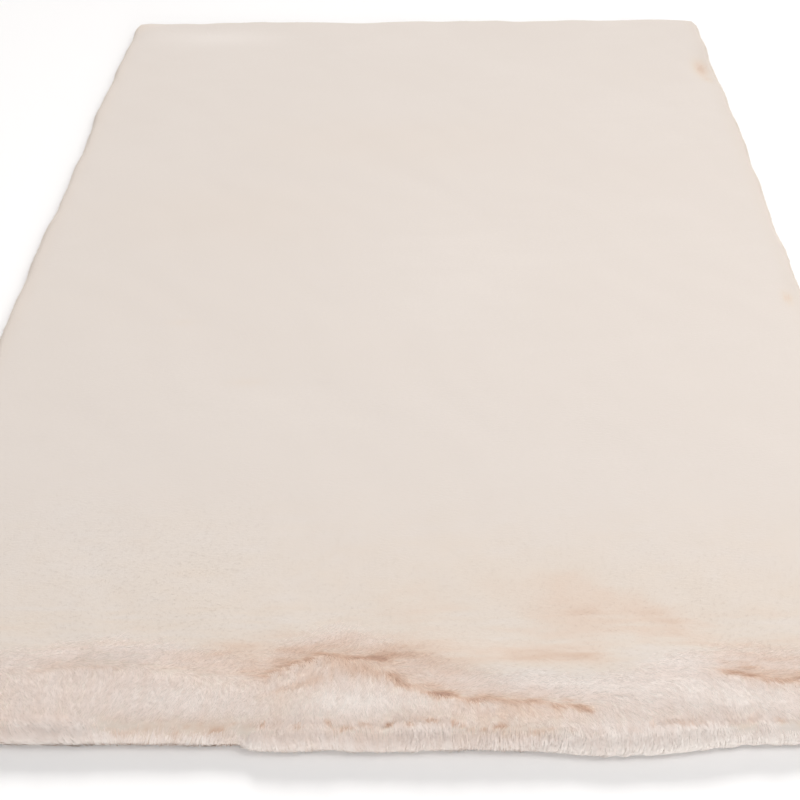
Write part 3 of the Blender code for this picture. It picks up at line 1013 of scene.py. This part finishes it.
def make_ruffled_hair(material):
    """The longer, finer hair near the ruffled edge, which opens at the partings."""
    chance = np.random.default_rng(201)
    low, high = -LENGTH / 2 + RUFFLED_INSET, -LENGTH / 2 + RUFFLED_BAND
    x, y = scatter(chance, RUFFLED_COUNT, low, high, RUFFLED_INSET)
    ruffled = ruffle(x, y)
    kept = ruffled > chance.uniform(0.0, 0.5, len(x))
    x, y, ruffled = x[kept], y[kept], ruffled[kept]
    side = np.digitize(x, np.quantile(x, np.linspace(0, 1, RUFFLED_PIECES + 1)[1:-1]))
    pieces = []
    for k in range(RUFFLED_PIECES):
        px, py, rough = x[side == k], y[side == k], ruffled[side == k]
        count = len(px)
        length = chance.uniform(*RUFFLED_LENGTHS, count) * near_gap(px, py)
        lift = chance.uniform(*RUFFLED_LIFTS, count)
        lift = lift + chance.uniform(0, RUFFLED_EXTRA, count) * rough
        bend = chance.normal(0, RUFFLED_BEND, count)
        heading = comb_heading(px, py)
        draw_x, draw_y = clump_draw(px, py, heading, *RUFFLED_CLUMPS, 202)
        path = lying_path(px, py, heading, length, bend, lift, (draw_x * rough, draw_y * rough))
        width = chance.uniform(*RUFFLED_WIDTHS, count)
        middle = path.mean(axis=1)
        # painted light: HAIR_TONE makes this hair paler against the shade among its strands
        tone = fur_tone(middle[:, 0], middle[:, 1]) + HAIR_TONE
        tone = tone + chance.normal(0, HAIR_SCATTER, count)
        soft = ground_normal(px, py)
        name, depth = f"ruffled_hair_{k + 1}", width * HAIR_FLAT
        hair = make_hair(name, path, width, depth, tone, soft, SOFTNESS, material, RUFFLED_ROOT)
        pieces.append(hair)
    return pieces


def rim_path(ring, outward, shoulder, place, theta, drop, out, aside, held, shares):
    """Paths of hairs that fall over the rim, round the ground's quarter ellipse.

    theta is 0 at the floor, 90 degrees where the ellipse meets the pile's level top, and
    more on that top. Each hair starts at theta, goes down by drop and leaves the ellipse by
    out, while it strays aside along the rim. held is the share of the ground's tuck it keeps,
    and shares are where along the hair its points lie.
    """
    floor = BACKING_THICK + GAP
    length = len(ring)
    base = place.astype(int) % length
    part = (place - np.floor(place))[:, None]
    foot = ring[base] * (1 - part) + ring[(base + 1) % length] * part
    normal = outward[base] * (1 - part) + outward[(base + 1) % length] * part
    normal = normal / np.linalg.norm(normal, axis=1, keepdims=True)
    tangent = np.stack([-normal[:, 1], normal[:, 0]], axis=-1)
    points = []
    for share in shares:
        angle = np.maximum(theta - drop * share, LOWEST_ANGLE)
        level = np.maximum(angle - math.pi / 2, 0)
        away, rise = np.cos(angle - level) / shoulder, np.sin(angle - level) / PILE_HEIGHT
        size = np.hypot(away, rise)
        step = out * math.sqrt(share) - RIM_SINK * (1 - share)
        inside = 1 - np.cos(angle - level) + level
        reach = step * away / size - shoulder * inside - held * tuck(np.sin(angle - level))
        xy = foot + normal * reach[:, None] + tangent * (aside * share)[:, None]
        top = ground_height(xy[:, 0], xy[:, 1]) - floor
        z = floor + top * np.sin(angle - level) + step * rise / size
        z = np.maximum(z, LOWEST_HAIR)
        points.append(np.column_stack([xy, z]))
    return np.stack(points, axis=1)


def combed_aside(x):
    """How far the near rim's hair is combed along the edge: bells added together."""
    return sum(far * np.exp(-(((x - place) / spread) ** 2)) for place, spread, far in COMBED_ASIDE)


def start_rim_hair(chance, ring, stretch, count, is_near):
    """Where hairs of the rim start: places along the ring, angles round it, and how clear.

    Near hair starts in front of the roll's start, and up to 11 mm behind it where it is faint.
    It lies on the ground there, clear 0, and is wholly clear of it, 1, from 6 mm in front.
    """
    place = stretch[chance.integers(0, len(stretch), count)] + chance.uniform(0, 1, count)
    theta = math.pi / 2 * chance.uniform(*RIM_STARTS, count)
    if not is_near:
        return place, theta, 1.0
    foot = ring[place.astype(int) % len(ring)]
    level = np.maximum(theta - math.pi / 2, 0)
    root_y = foot[:, 1] + NEAR_SHOULDER * (1 - np.cos(theta - level) + level)
    off, strength = roll_start(foot[:, 0], root_y)
    kept = off < chance.uniform(0, 0.010, count) * (1 - strength) + 0.001
    return place[kept], theta[kept], smooth_drop(off[kept], -0.006, 0.001)


def rim_noises(place, theta):
    """Noise over the rim: its tufts, its clumps, how it sways aside, and how loose its foot is."""
    along, around = place * RIM_PITCH, theta * RIM_METRES
    tufts = soft_noise(along, around, 0.014, 0.016, 303)
    tufts = tufts + 0.6 * soft_noise(along, around, 0.033, 0.030, 305)
    clumps = soft_noise(along, around, 0.013, 0.020, 302)
    sway = soft_noise(along, around, 0.070, 0.060, 304)
    loose = np.clip(0.35 + 0.9 * soft_noise(along, 0, 0.010, 1, 307), 0, 1)
    return tufts, clumps, sway, loose


def make_rim_hair(near_material, far_material):
    """The hair that falls over the rim: dense along the near edge, plainer round the rest.

    Near hair starts at the roll's start, is calmer at the right, and is painted paler towards the floor, as
    light that makes up for the shade on the rim's face.
    Where the rim is tight its lowest hair is painted darker as the shade where it meets the floor, flares
    out and is shaded as facing down.
    The rest lies flat where it leaves the field, and pales towards the floor too.
    """
    ring = outline_points(GROUND_INSET, RIM_PITCH)
    tangent = np.roll(ring, -3, axis=0) - np.roll(ring, 3, axis=0)
    outward = np.stack([tangent[:, 1], -tangent[:, 0]], axis=-1)
    outward = outward / np.linalg.norm(outward, axis=1, keepdims=True)
    by_near_edge = ring[:, 1] < -LENGTH / 2 + NEAR_STRETCH
    chance = np.random.default_rng(301)
    pieces = []
    for name, is_near, count, width, length, (lift, extra), softness, shares in RIM_HAIR:
        shoulder = NEAR_SHOULDER if is_near else FAR_SHOULDER
        material = near_material if is_near else far_material
        stretch = np.flatnonzero(by_near_edge == is_near)
        place, theta, clear = start_rim_hair(chance, ring, stretch, count, is_near)
        count = len(place)
        drop = chance.uniform(*length, count) / shoulder
        start = place.astype(int) % len(ring)
        start_x = ring[start, 0]
        tufts, clumps, sway, loose = rim_noises(place, theta)
        calm = 1 - RIM_CALM[0] * smooth_step(start_x, *RIM_CALM[1:]) * is_near
        tufts = tufts * calm
        tight = np.interp(start_x, *zip(*TIGHTNESS)) * is_near
        lowest = tight * smooth_drop(theta, 0.20, 0.42)
        stray = extra * calm * chance.uniform(0, 1, count) ** 2
        out = clear * lift * (1 + 0.7 * tufts) + stray
        if not is_near:
            out = out * smooth_drop(theta, 1.2, 2.2)
        out = out + FLARE * lowest
        lean = RIM_SWAY * sway + combed_aside(start_x) * is_near
        aside = RIM_CLUMP * calm * clumps + lean + chance.normal(0, RIM_STRAY, count)
        held = 1 - RIM_LOOSE * loose * (1 - tight) * is_near
        path = rim_path(ring, outward, shoulder, place, theta, drop, out, aside, held, shares)
        size = chance.uniform(*width, count)
        centre = path.mean(axis=1)
        tone = fur_tone(centre[:, 0], centre[:, 1])
        if is_near:
            # painted light: the rim's face is painted paler, making up for the light it lacks next to the
            # top
            pale = smooth_drop(theta, 0.75, 1.45)
            tone = tone * (1 - 0.1 * pale) + HAIR_TONE - 0.15 * pale
            # painted shade: where the rim is tight, the lowest hair is darker, as the shade at the floor
            tone = tone - 0.05 * (1 + tight) * tufts + 0.45 * lowest
            tone = tone + chance.normal(0, HAIR_SCATTER, count)
        else:
            tone = tone - 0.18 * smooth_drop(theta, 0.7, 1.3)
        middle = np.clip(theta - drop / 2, 0, math.pi / 2)
        under = 0.9 * lowest + tight * smooth_drop(theta, 0.4, 0.9)
        away = outward[start] * 0.9 * np.cos(middle)[:, None]
        soft = np.column_stack([away, 0.2 + 0.8 * np.sin(middle) - under])
        up = np.column_stack([outward[start] * 0.8, np.ones(count)])[:, None, :]
        depth = size * HAIR_FLAT
        hair = make_hair(name, path, size, depth, tone, soft, softness, material, RIM_ROOT, up)
        pieces.append(hair)
    return pieces


def make_camera():
    """The camera at the photograph's place, heading, pitch and roll."""
    heading, pitch = math.radians(CAMERA_HEADING), math.radians(CAMERA_PITCH)
    roll = math.radians(CAMERA_ROLL)
    ahead = np.array([-math.sin(heading), math.cos(heading), 0.0])
    right = np.array([math.cos(heading), math.sin(heading), 0.0])
    forward = ahead * math.cos(pitch) - np.array([0.0, 0.0, math.sin(pitch)])
    up = ahead * math.sin(pitch) + np.array([0.0, 0.0, math.cos(pitch)])
    turned_right = right * math.cos(roll) + up * math.sin(roll)
    turned_up = up * math.cos(roll) - right * math.sin(roll)
    data = bpy.data.cameras.new("camera")
    data.sensor_width = SENSOR
    data.lens = CAMERA_LENS
    camera = place_object("camera", data)
    axes = np.column_stack([turned_right, turned_up, -forward, CAMERA_PLACE])
    camera.matrix_world = Matrix(axes.tolist() + [[0.0, 0.0, 0.0, 1.0]])
    bpy.context.scene.camera = camera


def add_lamp(name, kind, towards, strength):
    """A lamp turned to shine at the rug's middle from the given direction or place."""
    data = bpy.data.lights.new(name, kind)
    data.energy = strength
    lamp = place_object(name, data)
    lamp.rotation_euler = Vector(towards).to_track_quat("Z", "Y").to_euler()
    return lamp


def make_stage():
    """A plain pale floor under soft studio light: a surround, two far lamps and a side box."""
    mesh = bpy.data.meshes.new("floor")
    reach, level = 9.0, -0.0004
    corners = [(-reach, -reach), (reach, -reach), (reach, reach), (-reach, reach)]
    mesh.from_pydata([(x, y, level) for x, y in corners], [], [(0, 1, 2, 3)])
    material, _, shader = new_material("studio_floor", Roughness=0.95, Specular_IOR_Level=0.0)
    shader.inputs["Base Color"].default_value = linear_colour("fcfaf9")
    mesh.materials.append(material)
    floor = place_object("floor", mesh)

    world = bpy.data.worlds.new("studio")
    world.use_nodes = True
    surround = world.node_tree.nodes["Background"]
    surround.inputs["Color"].default_value = linear_colour("ffffff")
    surround.inputs["Strength"].default_value = SURROUND
    bpy.context.scene.world = world

    for name, towards, strength, angle in FAR_LAMPS:
        add_lamp(name, "SUN", towards, strength).data.angle = math.radians(angle)
    place, size, watts = SIDE_BOX
    panel = add_lamp("side_box", "AREA", place, watts)
    panel.location = place
    panel.data.shape = "SQUARE"
    panel.data.size = size
    bpy.context.scene.view_settings.view_transform = "Standard"


make_camera()
make_stage()
short_hair = hair_material("acrylic_fur_nap", NAP_COLOURS)
long_hair = hair_material("acrylic_fur_hair", HAIR_COLOURS)
backing = make_backing(backing_material())
ground = make_ground(ground_material())
nap = [make_nap(*row, short_hair) for row in NAP]
fur = [ground, *nap, *make_ruffled_hair(long_hair), *make_rim_hair(long_hair, short_hair)]
for piece in [backing, *fur]:
    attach(piece, "root")
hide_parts("rug_pile")
